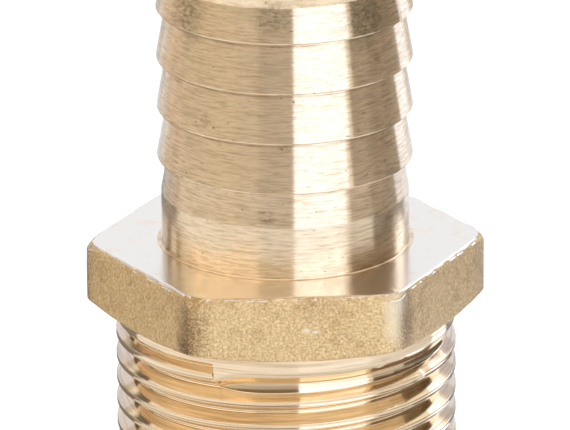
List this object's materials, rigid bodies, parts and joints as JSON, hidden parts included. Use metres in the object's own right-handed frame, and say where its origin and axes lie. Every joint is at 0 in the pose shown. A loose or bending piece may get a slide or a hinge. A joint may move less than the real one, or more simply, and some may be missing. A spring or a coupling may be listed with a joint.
{
  "type": "hose barb tail",
  "caption": "Brass hose tail in one piece: a ribbed barb for a 25 mm hose, a hexagon for a spanner and a G 1 male pipe thread, with a plain water way through.",
  "frame": {"origin": "centre of the thread's end face", "axes": "+Z along the water way towards the hose end, one flat of the hexagon facing -Y"},
  "size_m": [0.0388, 0.034, 0.0516],
  "materials": {
    "brass": "turned, with sand-blasted hexagon flats"
  },
  "bodies": {
    "root": {"hose_tail": "brass"}
  },
  "joints": []
}
